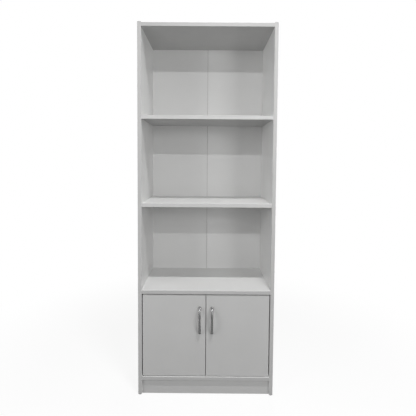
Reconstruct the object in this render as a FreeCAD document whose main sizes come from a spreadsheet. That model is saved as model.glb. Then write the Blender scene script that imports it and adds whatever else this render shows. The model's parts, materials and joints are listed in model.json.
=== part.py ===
# Bookcase of flat boards with three open bays over a cabinet closed by two hinged doors.
# Millimetres, +Z up, the front faces -Y. The origin is on the floor, under the middle of the whole part.
import FreeCAD, Part
import os

import Sketcher
from FreeCAD import Placement, Rotation, Vector

# Driving dimensions, each set by itself.
SIZES = {
    # Case of boards
    "case_width": 600,
    "side_depth": 297,
    "board": 16,
    "edge_round": 0.8,
    "side_rise": 4,
    "underside_height": 68,
    "cabinet_bay": 376,
    "lower_bay": 369,
    "middle_bay": 366,
    "top_bay": 374,
    "shelf_setback": 4,
    "plinth_recess": 10,
    "plinth_lift": 1,
    # Back of thin hardboard in two halves
    "back_thickness": 3,
    "back_margin": 2,
    "back_seam": 1.2,
    "tape_width": 40,
    "tape_thickness": 0.2,
    "nail_diameter": 1.6,
    "nail_length": 20,
    "nail_head_diameter": 4.5,
    "nail_head_height": 0.8,
    "nail_margin": 40,
    # Foot glides
    "glide_height": 4,
    "glide_diameter": 14,
    "glide_inset": 9,
    "glide_nail_diameter": 2.2,
    "glide_nail_length": 16,
    # Knock-down fittings and dowels
    "cam_diameter": 15,
    "cam_past_bolt": 4.5,
    "cam_reach": 34,
    "cam_inset": 50,
    "cam_key_diameter": 6,
    "cam_key_depth": 2,
    "bolt_thread": 6,
    "bolt_grip": 11,
    "bolt_shank": 5,
    "bolt_head": 7,
    "bolt_head_length": 3,
    "bolt_bore": 8,
    "dowel_diameter": 8,
    "dowel_length": 30,
    "dowel_in_side": 10,
    "dowel_pitch": 32,
    "hole_clearance": 0.1,
    # Doors
    "door_thickness": 16,
    "door_setback": 3,
    "hinge_gap": 4,
    "meeting_gap": 2.4,
    "door_top_gap": 4.5,
    "door_bottom_gap": 4,
    # Bow handles
    "handle_spacing": 112,
    "handle_reach": 28,
    "handle_width": 10,
    "handle_thickness": 6,
    "handle_foot_diameter": 13,
    "handle_foot_height": 7,
    "handle_overhang": 3,
    "handle_edge": 26,
    "handle_drop": 113,
    "handle_screw_diameter": 4,
    "handle_screw_bite": 6,
    "handle_screw_head_diameter": 8,
    "handle_screw_head_height": 2.5,
    # Cup hinges
    "hinge_inset": 75,
    "swing_clearance": 1.2,
    "cup_diameter": 35,
    "cup_depth": 11.5,
    "cup_wall": 0.8,
    "cup_edge": 4,
    "cup_ear_reach": 3,
    "cup_ear_thickness": 4,
    "cup_ear_gap": 0.5,
    "flange_thickness": 1,
    "flange_rim": 1.5,
    "flange_width": 18,
    "flange_end": 5,
    "cup_screw_spacing": 48,
    "cup_screw_diameter": 3.5,
    "cup_screw_bite": 11,
    "cup_screw_head_diameter": 6.4,
    "cup_screw_head_height": 1.5,
    "pin_diameter": 2.5,
    "pin_clearance": 0.05,
    "eye_wall": 0.9,
    "hook_clearance": 0.4,
    "hook_thickness": 2.6,
    "arm_width": 12,
    "arm_height": 8,
    "crank_start": 8,
    "crank_end": 24,
    "arm_length": 52,
    "arm_screw_diameter": 4,
    "arm_screw_setback": 15,
    "arm_screw_head_diameter": 7,
    "arm_screw_head_height": 2,
    "plate_thickness": 4,
    "plate_width": 14,
    "plate_overhang": 3,
    "wing_end": 7,
    "wing_depth": 14,
    "plate_screw_spacing": 32,
    "plate_screw_diameter": 4,
    "plate_screw_bite": 11,
    "plate_screw_head_diameter": 7,
    "plate_screw_head_height": 2,
    # Double magnetic catch and its strike plates
    "catch_ear": 8,
    "catch_depth": 14,
    "catch_wall": 2,
    "catch_gap": 0.3,
    "magnet_width": 14,
    "magnet_height": 8,
    "magnet_depth": 5,
    "catch_screw_diameter": 3,
    "catch_screw_bite": 10,
    "catch_screw_head_diameter": 6,
    "catch_screw_head_height": 1.5,
    "strike_width": 18,
    "strike_height": 12,
    "strike_thickness": 1,
    "strike_margin": 1.5,
    "strike_edge": 2,
    "strike_screw_diameter": 3,
    "strike_screw_bite": 9,
    "strike_screw_head_diameter": 5,
}

# Nails along each rear edge of a side, and along each board on either half of the back.
NAILS_UP_A_SIDE = 9
NAILS_ALONG_A_BOARD = 2

doc = FreeCAD.newDocument("bookcase")
sheet = doc.addObject("Spreadsheet::Sheet", "Sizes")
for row, (alias, value) in enumerate(SIZES.items(), start=1):
    sheet.set(f"A{row}", alias)
    sheet.set(f"B{row}", str(value))
    sheet.setAlias(f"B{row}", alias)
doc.recompute()

# Planes across the part, as expressions of the driving dimensions.
INNER = "(Sizes.case_width / 2 - Sizes.board)"
FRONT_REACH = "(Sizes.handle_reach - Sizes.door_setback)"
REAR_REACH = "(Sizes.side_depth + Sizes.back_thickness + Sizes.nail_head_height)"
FRONT = f"(({FRONT_REACH} - {REAR_REACH}) / 2)"
REAR = f"({FRONT} + Sizes.side_depth)"
BACK_OUTSIDE = f"({REAR} + Sizes.back_thickness)"

# Undersides of the boards, from the floor up.
BOTTOM_PANEL = "Sizes.underside_height"
CABINET_TOP = f"({BOTTOM_PANEL} + Sizes.board + Sizes.cabinet_bay)"
LOWER_SHELF = f"({CABINET_TOP} + Sizes.board + Sizes.lower_bay)"
UPPER_SHELF = f"({LOWER_SHELF} + Sizes.board + Sizes.middle_bay)"
TOP_PANEL = f"({UPPER_SHELF} + Sizes.board + Sizes.top_bay)"
CASE_TOP = f"({TOP_PANEL} + Sizes.board)"
SIDE_TOP = f"({CASE_TOP} + Sizes.side_rise)"

# Planes of the doors.
DOOR_FRONT = f"({FRONT} + Sizes.door_setback)"
DOOR_BACK = f"({DOOR_FRONT} + Sizes.door_thickness)"
DOOR_BOTTOM = f"({BOTTOM_PANEL} + Sizes.board + Sizes.door_bottom_gap)"
DOOR_TOP = f"({CABINET_TOP} - Sizes.door_top_gap)"
DOOR_WIDTH = f"({INNER} - Sizes.hinge_gap - Sizes.meeting_gap / 2)"

HANDS = {"left": -1, "right": 1}
TURNS = {
    "+x": Rotation(Vector(0, 1, 0), 90),
    "-x": Rotation(Vector(0, 1, 0), -90),
    "+y": Rotation(Vector(1, 0, 0), -90),
    "-y": Rotation(Vector(1, 0, 0), 90),
    "+z": Rotation(),
    "-z": Rotation(Vector(1, 0, 0), 180),
}
nodes = []


def keep(item, label):
    """Make an object a sub-part of the bookcase."""
    item.Label = label
    nodes.append(item)
    return item


def put(item, place, turn=Rotation()):
    """Turn an object and bind its place."""
    item.Placement = Placement(Vector(), turn)
    for axis, expression in zip("xyz", place):
        item.setExpression(f"Placement.Base.{axis}", expression)


def block(name, low, size):
    """Box from its lowest corner."""
    box = doc.addObject("Part::Box", name)
    for side, expression in zip(("Length", "Width", "Height"), size):
        box.setExpression(side, expression)
    put(box, low)
    return box


def centred_block(name, centre, size):
    """Box about its centre."""
    low = [f"{middle} - ({extent}) / 2" for middle, extent in zip(centre, size)]
    return block(name, low, size)


def rod(name, way, start, diameter, length):
    """Cylinder that runs from a point along one axis."""
    cylinder = doc.addObject("Part::Cylinder", name)
    cylinder.setExpression("Radius", f"({diameter}) / 2")
    cylinder.setExpression("Height", length)
    put(cylinder, start, TURNS[way])
    return cylinder


def bore(name, way, start, diameter, length):
    """Cutter for a hole that clears what sits in it."""
    return rod(name, way, start, f"{diameter} + 2 * Sizes.hole_clearance", length)


def join(name, pieces):
    """Several objects as one solid."""
    joined = doc.addObject("Part::MultiFuse", name)
    joined.Shapes = pieces
    return joined


def cut(name, base, cutters):
    """An object with cutters taken out of it."""
    remainder = doc.addObject("Part::Cut", name)
    remainder.Base = base
    remainder.Tool = cutters[0] if len(cutters) == 1 else join(f"{name}_cutters", cutters)
    return remainder


def headed_pin(name, way, seat, shank, head):
    """Screw or nail whose head stands on its seat, with the shank running the other way."""
    head_way = {"+": "-", "-": "+"}[way[0]] + way[1]
    stem = rod(f"{name}_stem", way, seat, *shank)
    cap = rod(f"{name}_cap", head_way, seat, *head)
    return join(name, [stem, cap])


def group(name, pieces):
    """Like pieces kept as separate solids of one sub-part."""
    compound = doc.addObject("Part::Compound", name)
    compound.Links = pieces
    return keep(compound, name)


def flat_sketch(body, name):
    """Empty sketch on the level plane of its own body."""
    sketch = body.newObject("Sketcher::SketchObject", name)
    level = next(plane for plane in body.Origin.OriginFeatures if plane.Role == "XY_Plane")
    sketch.AttachmentSupport = (level, [""])
    sketch.MapMode = "FlatFace"
    return sketch


def number(expression):
    """Present value of an expression."""
    return float(sheet.evalExpression(expression))


def fix_point(sketch, geometry, point, place):
    """Bind a sketch point to its two coordinates."""
    for kind, expression in zip(("DistanceX", "DistanceY"), place):
        constraint = Sketcher.Constraint(kind, -1, 1, geometry, point, number(expression))
        index = sketch.addConstraint(constraint)
        sketch.setExpression(f"Constraints[{index}]", expression)


def outline(body, name, points):
    """Sketch of straight lines through bound points."""
    sketch = flat_sketch(body, name)
    corners = [Vector(number(across), number(along), 0) for across, along in points]
    for index, corner in enumerate(corners):
        sketch.addGeometry(Part.LineSegment(corner, corners[(index + 1) % len(corners)]))
    for index, place in enumerate(points):
        sketch.addConstraint(Sketcher.Constraint("Coincident", index, 2, (index + 1) % len(points), 1))
        fix_point(sketch, index, 1, place)
    return sketch


def ring(body, name, centre, diameter):
    """Sketch of one bound circle."""
    sketch = flat_sketch(body, name)
    middle = Vector(number(centre[0]), number(centre[1]), 0)
    circle = sketch.addGeometry(Part.Circle(middle, Vector(0, 0, 1), number(diameter) / 2))
    fix_point(sketch, circle, 3, centre)
    index = sketch.addConstraint(Sketcher.Constraint("Diameter", circle, number(diameter)))
    sketch.setExpression(f"Constraints[{index}]", diameter)
    return sketch


def pad(body, name, sketch, height):
    """Solid of a sketch, to both sides of it."""
    feature = body.newObject("PartDesign::Pad", name)
    feature.Profile = sketch
    feature.Midplane = True
    feature.setExpression("Length", height)
    return feature


def pocket(body, name, sketch):
    """Cut of a sketch through the whole body."""
    feature = body.newObject("PartDesign::Pocket", name)
    feature.Profile = sketch
    feature.Type = "ThroughAll"
    feature.Midplane = True
    return feature


def board_blank(name, low, size, is_banded):
    """Board from its lowest corner, with the edges that carry edge banding rounded over."""
    body = doc.addObject("PartDesign::Body", name)
    put(body, low)
    slab = body.newObject("PartDesign::AdditiveBox", f"{name}_slab")
    for side, expression in zip(("Length", "Width", "Height"), size):
        slab.setExpression(side, expression)
    doc.recompute()
    banded = [
        f"Edge{index}"
        for index, edge in enumerate(slab.Shape.Edges, start=1)
        if is_banded(slab.Shape.BoundBox, edge.BoundBox)
    ]
    rounding = body.newObject("PartDesign::Fillet", f"{name}_rounding")
    rounding.Base = (slab, banded)
    rounding.setExpression("Radius", "Sizes.edge_round")
    return body


def front_long_edges(slab, edge):
    """Upper and lower front edges of a level board."""
    return edge.YLength < edge.XLength and edge.YMax < slab.Center.y and edge.ZLength < edge.XLength


def front_and_top_edges(slab, edge):
    """Upright front edges of a side, and the edges round its upper end."""
    return edge.ZMin > slab.Center.z or (edge.ZLength > edge.XLength and edge.YMax < slab.Center.y)


def all_edges(slab, edge):
    """Every edge of a door."""
    return True


# Blank boards: the lowest corner and the size of each.
PLINTH_FRONT = f"({FRONT} + Sizes.plinth_recess)"
LEVEL_BOARDS = {
    "bottom_panel": (BOTTOM_PANEL, "0"),
    "cabinet_top_panel": (CABINET_TOP, "0"),
    "lower_shelf": (LOWER_SHELF, "Sizes.shelf_setback"),
    "upper_shelf": (UPPER_SHELF, "Sizes.shelf_setback"),
    "top_panel": (TOP_PANEL, "0"),
}
BACK_BOTTOM = f"({BOTTOM_PANEL} + Sizes.back_margin)"
BACK_HEIGHT = f"({CASE_TOP} - Sizes.back_margin - {BACK_BOTTOM})"
BACK_HALF = "(Sizes.case_width / 2 - Sizes.back_margin - Sizes.back_seam / 2)"
blanks = {}
for hand_name, hand in HANDS.items():
    side = f"{hand_name}_side_panel"
    side_middle = f"{hand} * ({INNER} + Sizes.board / 2)"
    blanks[side] = board_blank(
        f"{side}_blank",
        (f"{side_middle} - Sizes.board / 2", FRONT, "Sizes.glide_height"),
        ("Sizes.board", "Sizes.side_depth", f"{SIDE_TOP} - Sizes.glide_height"),
        front_and_top_edges,
    )
    door = f"{hand_name}_door_panel"
    door_middle = f"{hand} * (Sizes.meeting_gap / 2 + {DOOR_WIDTH} / 2)"
    blanks[door] = board_blank(
        f"{door}_blank",
        (f"{door_middle} - {DOOR_WIDTH} / 2", DOOR_FRONT, DOOR_BOTTOM),
        (DOOR_WIDTH, "Sizes.door_thickness", f"{DOOR_TOP} - {DOOR_BOTTOM}"),
        all_edges,
    )
    half = f"{hand_name}_back_panel"
    half_middle = f"{hand} * (Sizes.back_seam / 2 + {BACK_HALF} / 2)"
    blanks[half] = block(
        f"{half}_blank",
        (f"{half_middle} - {BACK_HALF} / 2", REAR, BACK_BOTTOM),
        (BACK_HALF, "Sizes.back_thickness", BACK_HEIGHT),
    )
for panel, (underside, setback) in LEVEL_BOARDS.items():
    blanks[panel] = board_blank(
        f"{panel}_blank",
        (f"-{INNER}", f"{FRONT} + {setback}", underside),
        (f"2 * {INNER}", f"Sizes.side_depth - {setback}", "Sizes.board"),
        front_long_edges,
    )
blanks["plinth_board"] = board_blank(
    "plinth_board_blank",
    (f"-{INNER}", PLINTH_FRONT, "Sizes.plinth_lift"),
    (f"2 * {INNER}", "Sizes.board", f"{BOTTOM_PANEL} - Sizes.plinth_lift"),
    front_long_edges,
)
drillings = {board_name: [] for board_name in blanks}

# Knock-down joints: a bolt in the side, a cam in the end of the board, and a dowel beside them.
CAM_DEPTH = "(Sizes.board / 2 + Sizes.cam_past_bolt)"
cams = []
bolts = []
dowels = []


def end_joint(name, hand_name, board_name, bolt_line, cam_mouth, cam_way, dowel_line):
    """One cam, bolt and dowel between a board's end and a side."""
    hand = HANDS[hand_name]
    outward, inward = ("-x", "+x") if hand < 0 else ("+x", "-x")
    end_x = f"{hand} * {INNER}"
    cam_x = f"{hand} * ({INNER} - Sizes.cam_reach)"
    head_x = f"{hand} * ({INNER} - Sizes.cam_reach - Sizes.bolt_head_length / 2)"

    thread = rod(f"{name}_thread", outward, (end_x, *bolt_line), "Sizes.bolt_thread", "Sizes.bolt_grip")
    shank = rod(f"{name}_shank", inward, (end_x, *bolt_line), "Sizes.bolt_shank", "Sizes.cam_reach")
    head = rod(f"{name}_head", outward, (head_x, *bolt_line), "Sizes.bolt_head", "Sizes.bolt_head_length")
    bolts.append(join(f"{name}_bolt", [thread, shank, head]))

    drum = rod(f"{name}_drum", cam_way, (cam_x, *cam_mouth), "Sizes.cam_diameter", CAM_DEPTH)
    key = rod(f"{name}_key", cam_way, (cam_x, *cam_mouth), "Sizes.cam_key_diameter", "Sizes.cam_key_depth")
    throat = bore(
        f"{name}_throat", outward, (head_x, *bolt_line), "Sizes.bolt_head",
        "Sizes.cam_diameter / 2 + Sizes.bolt_head_length",
    )
    cams.append(cut(f"{name}_cam", drum, [key, throat]))

    dowel_x = f"{hand} * ({INNER} + Sizes.dowel_in_side)"
    dowel = (dowel_x, *dowel_line)
    dowels.append(rod(f"{name}_dowel", inward, dowel, "Sizes.dowel_diameter", "Sizes.dowel_length"))
    dowel_hole = bore(f"{name}_dowel_hole", inward, dowel, "Sizes.dowel_diameter", "Sizes.dowel_length")

    thread_hole = bore(
        f"{name}_thread_hole", outward, (end_x, *bolt_line), "Sizes.bolt_thread", "Sizes.bolt_grip"
    )
    drillings[f"{hand_name}_side_panel"] += [thread_hole, dowel_hole]
    shank_hole = rod(
        f"{name}_shank_hole", inward, (end_x, *bolt_line), "Sizes.bolt_bore", "Sizes.cam_reach"
    )
    cam_hole = bore(
        f"{name}_cam_hole", cam_way, (cam_x, *cam_mouth), "Sizes.cam_diameter", CAM_DEPTH
    )
    drillings[board_name] += [shank_hole, cam_hole, dowel_hole]


JOINT_ROWS = {
    "front": (f"({FRONT} + Sizes.cam_inset)", f"({FRONT} + Sizes.cam_inset + Sizes.dowel_pitch)"),
    "rear": (f"({REAR} - Sizes.cam_inset)", f"({REAR} - Sizes.cam_inset - Sizes.dowel_pitch)"),
}
PLINTH_MIDDLE = f"({PLINTH_FRONT} + Sizes.board / 2)"
PLINTH_BACK = f"({PLINTH_FRONT} + Sizes.board)"
PLINTH_HALF_HEIGHT = f"((Sizes.plinth_lift + {BOTTOM_PANEL}) / 2)"
for hand_name in HANDS:
    for panel, (underside, setback) in LEVEL_BOARDS.items():
        middle = f"({underside} + Sizes.board / 2)"
        for row_name, (bolt_y, dowel_y) in JOINT_ROWS.items():
            from_above = panel == "top_panel"
            end_joint(
                f"{panel}_{hand_name}_{row_name}", hand_name, panel,
                bolt_line=(bolt_y, middle),
                cam_mouth=(bolt_y, f"{underside} + Sizes.board" if from_above else underside),
                cam_way="-z" if from_above else "+z",
                dowel_line=(dowel_y, middle),
            )
    bolt_level = f"({PLINTH_HALF_HEIGHT} + Sizes.dowel_pitch / 2)"
    dowel_level = f"({PLINTH_HALF_HEIGHT} - Sizes.dowel_pitch / 2)"
    end_joint(
        f"plinth_{hand_name}", hand_name, "plinth_board",
        bolt_line=(PLINTH_MIDDLE, bolt_level),
        cam_mouth=(PLINTH_BACK, bolt_level),
        cam_way="-y",
        dowel_line=(PLINTH_MIDDLE, dowel_level),
    )
group("cam_locks", cams)
group("cam_bolts", bolts)
group("joint_dowels", dowels)

# Foot glides nailed into the lower edges of the sides.
glides = []
for hand_name, hand in HANDS.items():
    side_middle = f"{hand} * ({INNER} + Sizes.board / 2)"
    for row_name, glide_y in {
        "front": f"{FRONT} + Sizes.glide_inset",
        "rear": f"{REAR} - Sizes.glide_inset",
    }.items():
        name = f"glide_{hand_name}_{row_name}"
        pad_foot = rod(f"{name}_pad", "+z", (side_middle, glide_y, "0"),
                       "Sizes.glide_diameter", "Sizes.glide_height")
        nail_foot = (side_middle, glide_y, "Sizes.glide_height")
        nail = rod(f"{name}_nail", "+z", nail_foot, "Sizes.glide_nail_diameter", "Sizes.glide_nail_length")
        hole = bore(f"{name}_hole", "+z", nail_foot, "Sizes.glide_nail_diameter", "Sizes.glide_nail_length")
        glides.append(join(name, [pad_foot, nail]))
        drillings[f"{hand_name}_side_panel"].append(hole)
group("foot_glides", glides)

# Back of two hardboard halves, nailed to every rear edge and taped along the seam.
tape = block(
    "back_joint_tape",
    ("-Sizes.tape_width / 2", BACK_OUTSIDE, BACK_BOTTOM),
    ("Sizes.tape_width", "Sizes.tape_thickness", BACK_HEIGHT),
)
keep(tape, "back_joint_tape")
nails = []


def back_nail(name, hand_name, board_name, nail_x, nail_z):
    """Flat-headed nail through the back into the rear edge of a board."""
    seat = (nail_x, BACK_OUTSIDE, nail_z)
    shank = ("Sizes.nail_diameter", "Sizes.nail_length")
    head = ("Sizes.nail_head_diameter", "Sizes.nail_head_height")
    nails.append(headed_pin(name, "-y", seat, shank, head))
    hole = bore(f"{name}_hole", "-y", seat, *shank)
    drillings[f"{hand_name}_back_panel"].append(hole)
    drillings[board_name].append(hole)


for hand_name, hand in HANDS.items():
    for index in range(NAILS_UP_A_SIDE):
        share = (index + 0.5) / NAILS_UP_A_SIDE
        back_nail(
            f"side_nail_{hand_name}_{index}", hand_name, f"{hand_name}_side_panel",
            f"{hand} * ({INNER} + Sizes.board / 2)",
            f"{BACK_BOTTOM} + {share} * {BACK_HEIGHT}",
        )
    for panel, (underside, setback) in LEVEL_BOARDS.items():
        for index in range(NAILS_ALONG_A_BOARD):
            share = index / (NAILS_ALONG_A_BOARD - 1)
            back_nail(
                f"{panel}_nail_{hand_name}_{index}", hand_name, panel,
                f"{hand} * (Sizes.nail_margin + {share} * ({INNER} - 2 * Sizes.nail_margin))",
                f"{underside} + Sizes.board / 2",
            )
group("back_nails", nails)

# Cup hinges. Distances run inwards from the side's inner face, and back from the door's inner face.
PIN_BORE = "(Sizes.pin_diameter + 2 * Sizes.pin_clearance)"
EYE = f"({PIN_BORE} + 2 * Sizes.eye_wall)"
PIN_DEPTH = f"(Sizes.cup_depth - Sizes.cup_wall - Sizes.hook_clearance - {EYE} / 2)"
PIN_TO_FRONT = f"(Sizes.door_thickness - {PIN_DEPTH})"
# The pin stands where the door's front corner swings past the side with the swing clearance left.
PIN_INWARD = (
    f"((Sizes.hinge_gap^2 + {PIN_TO_FRONT}^2 - Sizes.swing_clearance^2)"
    " / (2 * (Sizes.hinge_gap - Sizes.swing_clearance)))"
)
CUP_INWARD = "(Sizes.hinge_gap + Sizes.cup_edge + Sizes.cup_diameter / 2)"
HOOK_FRONT = f"(-{PIN_DEPTH} - {EYE} / 2)"
HOOK_BACK = f"({HOOK_FRONT} + Sizes.hook_thickness)"
RISER_NEAR = f"(2 * {PIN_INWARD} - Sizes.swing_clearance + Sizes.hook_clearance)"
RISER_FAR = f"({RISER_NEAR} + Sizes.hook_thickness)"
ARM_TOP = "(Sizes.plate_thickness + Sizes.arm_height)"
ARM_END = "(Sizes.crank_end + Sizes.arm_length)"
ARM_SCREW_BACK = f"({ARM_END} - Sizes.arm_screw_setback)"
WING_BACK = "(Sizes.crank_end + Sizes.plate_overhang + Sizes.wing_depth / 2)"
HINGE_LEVELS = {
    "upper": f"({DOOR_TOP} - Sizes.hinge_inset)",
    "lower": f"({DOOR_BOTTOM} + Sizes.hinge_inset)",
}
ARM_PROFILE = (
    (PIN_INWARD, HOOK_FRONT),
    (RISER_FAR, HOOK_FRONT),
    (RISER_FAR, "Sizes.crank_start"),
    (ARM_TOP, "Sizes.crank_end"),
    (ARM_TOP, ARM_END),
    ("Sizes.plate_thickness", ARM_END),
    ("Sizes.plate_thickness", "Sizes.crank_end - Sizes.hook_thickness"),
    (RISER_NEAR, "Sizes.crank_start - Sizes.hook_thickness"),
    (RISER_NEAR, HOOK_BACK),
    (PIN_INWARD, HOOK_BACK),
)


def hinge_arm(name, hand, level, screw_hole):
    """Cranked arm whose hooked end carries the eye for the pin."""
    body = doc.addObject("PartDesign::Body", f"{name}_body")
    put(body, (f"{hand} * {INNER}", DOOR_BACK, level))
    profile = [(f"{-hand} * {inward}", back) for inward, back in ARM_PROFILE]
    eye = (f"{-hand} * {PIN_INWARD}", f"-{PIN_DEPTH}")
    pad(body, f"{name}_strip", outline(body, f"{name}_profile", profile), "Sizes.arm_width")
    pad(body, f"{name}_eye", ring(body, f"{name}_eye_ring", eye, EYE), "Sizes.arm_width")
    pocket(body, f"{name}_bore", ring(body, f"{name}_bore_ring", eye, PIN_BORE))
    return cut(name, body, [screw_hole])


def hinge_cup(name, hand, level, pin_hole, screw_holes):
    """Round cup with its flange, and two ears inside that hold the pin."""
    cup_x = f"{hand} * ({INNER} - {CUP_INWARD})"
    mouth = (cup_x, DOOR_BACK, level)
    shell = rod(f"{name}_shell", "-y", mouth, "Sizes.cup_diameter", "Sizes.cup_depth")
    rim = "Sizes.cup_diameter + 2 * Sizes.flange_rim"
    disc = rod(f"{name}_disc", "+y", mouth, rim, "Sizes.flange_thickness")
    strip = centred_block(
        f"{name}_flange",
        (cup_x, f"{DOOR_BACK} + Sizes.flange_thickness / 2", level),
        ("Sizes.flange_width", "Sizes.flange_thickness", "Sizes.cup_screw_spacing + 2 * Sizes.flange_end"),
    )
    hollow = rod(
        f"{name}_hollow", "-y", (cup_x, f"{DOOR_BACK} + Sizes.flange_thickness", level),
        "Sizes.cup_diameter - 2 * Sizes.cup_wall",
        "Sizes.cup_depth - Sizes.cup_wall + Sizes.flange_thickness",
    )
    rim_inward = f"({CUP_INWARD} - Sizes.cup_diameter / 2)"
    ear_width = f"({PIN_INWARD} + Sizes.cup_ear_reach - {rim_inward})"
    ear_offset = "(Sizes.arm_width / 2 + Sizes.cup_ear_gap + Sizes.cup_ear_thickness / 2)"
    ear_x = f"{hand} * ({INNER} - {rim_inward} - {ear_width} / 2)"
    ears = []
    for place, way in {"above": 1, "below": -1}.items():
        ears.append(centred_block(
            f"{name}_ear_{place}",
            (ear_x, DOOR_BACK, f"{level} + {way} * {ear_offset}"),
            (ear_width, "2 * Sizes.cup_depth", "Sizes.cup_ear_thickness"),
        ))
    space = cut(f"{name}_space", hollow, ears)
    return cut(name, join(f"{name}_solid", [shell, disc, strip]), [space, pin_hole, *screw_holes])


def hinge_plate(name, hand, level, holes):
    """Cross-shaped plate that screws to the side and carries the arm."""
    plate_x = f"{hand} * ({INNER} - Sizes.plate_thickness / 2)"
    run_middle = "(Sizes.crank_end + Sizes.plate_overhang + Sizes.arm_length / 2)"
    run = centred_block(
        f"{name}_run",
        (plate_x, f"{DOOR_BACK} + {run_middle}", level),
        ("Sizes.plate_thickness", "Sizes.arm_length", "Sizes.plate_width"),
    )
    wings = centred_block(
        f"{name}_wings",
        (plate_x, f"{DOOR_BACK} + {WING_BACK}", level),
        ("Sizes.plate_thickness", "Sizes.wing_depth", "Sizes.plate_screw_spacing + 2 * Sizes.wing_end"),
    )
    return cut(name, join(f"{name}_solid", [run, wings]), holes)


arm_screws = []
plate_screws = []
cup_screws = {hand_name: [] for hand_name in HANDS}
for hand_name, hand in HANDS.items():
    outward = "-x" if hand < 0 else "+x"
    side = f"{hand_name}_side_panel"
    door = f"{hand_name}_door_panel"
    for level_name, level in HINGE_LEVELS.items():
        hinge = f"{hand_name}_{level_name}_hinge"

        arm_shank = ("Sizes.arm_screw_diameter", ARM_TOP)
        arm_seat = (f"{hand} * ({INNER} - {ARM_TOP})", f"{DOOR_BACK} + {ARM_SCREW_BACK}", level)
        arm_hole = bore(f"{hinge}_arm_screw_hole", outward, arm_seat, *arm_shank)
        arm_head = ("Sizes.arm_screw_head_diameter", "Sizes.arm_screw_head_height")
        arm_screws.append(headed_pin(f"{hinge}_arm_screw", outward, arm_seat, arm_shank, arm_head))

        plate_holes = [arm_hole]
        for way in (1, -1):
            name = f"{hinge}_plate_screw_{'above' if way > 0 else 'below'}"
            seat = (
                f"{hand} * ({INNER} - Sizes.plate_thickness)",
                f"{DOOR_BACK} + {WING_BACK}",
                f"{level} + {way} * Sizes.plate_screw_spacing / 2",
            )
            shank = ("Sizes.plate_screw_diameter", "Sizes.plate_thickness + Sizes.plate_screw_bite")
            head = ("Sizes.plate_screw_head_diameter", "Sizes.plate_screw_head_height")
            hole = bore(f"{name}_hole", outward, seat, *shank)
            plate_screws.append(headed_pin(name, outward, seat, shank, head))
            plate_holes.append(hole)
            drillings[side].append(hole)

        cup_holes = []
        cup_x = f"{hand} * ({INNER} - {CUP_INWARD})"
        for way in (1, -1):
            name = f"{hinge}_cup_screw_{'above' if way > 0 else 'below'}"
            seat = (
                cup_x,
                f"{DOOR_BACK} + Sizes.flange_thickness",
                f"{level} + {way} * Sizes.cup_screw_spacing / 2",
            )
            shank = ("Sizes.cup_screw_diameter", "Sizes.flange_thickness + Sizes.cup_screw_bite")
            head = ("Sizes.cup_screw_head_diameter", "Sizes.cup_screw_head_height")
            hole = bore(f"{name}_hole", "-y", seat, *shank)
            cup_screws[hand_name].append(headed_pin(name, "-y", seat, shank, head))
            cup_holes.append(hole)
            drillings[door].append(hole)
        drillings[door].append(
            rod(f"{hinge}_cup_bore", "-y", (cup_x, DOOR_BACK, level), "Sizes.cup_diameter", "Sizes.cup_depth")
        )

        half_pin = "(Sizes.arm_width / 2 + Sizes.cup_ear_gap + Sizes.cup_ear_thickness)"
        pin_x = f"{hand} * ({INNER} - {PIN_INWARD})"
        pin_foot = (pin_x, f"{DOOR_BACK} - {PIN_DEPTH}", f"{level} - {half_pin}")
        pin = rod(f"{hinge}_pin", "+z", pin_foot, "Sizes.pin_diameter", f"2 * {half_pin}")
        keep(pin, f"{hinge}_pin")
        keep(hinge_arm(f"{hinge}_arm", hand, level, arm_hole), f"{hinge}_arm")
        keep(hinge_cup(f"{hinge}_cup", hand, level, pin, cup_holes), f"{hinge}_cup")
        keep(hinge_plate(f"{hinge}_plate", hand, level, plate_holes), f"{hinge}_plate")
    group(f"{hand_name}_cup_screws", cup_screws[hand_name])
group("hinge_arm_screws", arm_screws)
group("hinge_plate_screws", plate_screws)

# Bow handles: a bar bent to an arc on two tapered feet, each held by a screw through the door.
BOW_RISE = "(Sizes.handle_reach - Sizes.handle_thickness / 2 - Sizes.handle_foot_height)"
BOW_RADIUS = f"((Sizes.handle_spacing^2 / 4 + {BOW_RISE}^2) / (2 * {BOW_RISE}))"
BOW_ANGLE = f"2 * asin((Sizes.handle_spacing / 2 + Sizes.handle_overhang) / {BOW_RADIUS})"
HANDLE_LEVEL = f"({DOOR_TOP} - Sizes.handle_drop)"


def bow(name, handle_x):
    """Oval bar swept round the arc's level axis."""
    body = doc.addObject("PartDesign::Body", f"{name}_body")
    put(body, (
        handle_x,
        f"{DOOR_FRONT} - Sizes.handle_reach + Sizes.handle_thickness / 2 + {BOW_RADIUS}",
        HANDLE_LEVEL,
    ))
    sketch = flat_sketch(body, f"{name}_section")
    half_width = number("Sizes.handle_width / 2")
    half_thickness = number("Sizes.handle_thickness / 2")
    oval = sketch.addGeometry(Part.Ellipse(Vector(0, -number(BOW_RADIUS), 0), half_width, half_thickness))
    sketch.exposeInternalGeometry(oval)
    wide_line = oval + 1
    thin_line = oval + 2
    fix_point(sketch, oval, 3, ("0", f"-{BOW_RADIUS}"))
    sketch.addConstraint(Sketcher.Constraint("Horizontal", wide_line))
    for line, kind, size in (
        (wide_line, "DistanceX", "Sizes.handle_width"),
        (thin_line, "DistanceY", "Sizes.handle_thickness"),
    ):
        index = sketch.addConstraint(Sketcher.Constraint(kind, line, 1, line, 2, number(size)))
        sketch.setExpression(f"Constraints[{index}]", size)
    arc = body.newObject("PartDesign::Revolution", f"{name}_arc")
    arc.Profile = sketch
    arc.ReferenceAxis = (sketch, ["H_Axis"])
    arc.Midplane = True
    arc.setExpression("Angle", BOW_ANGLE)
    return body


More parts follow.
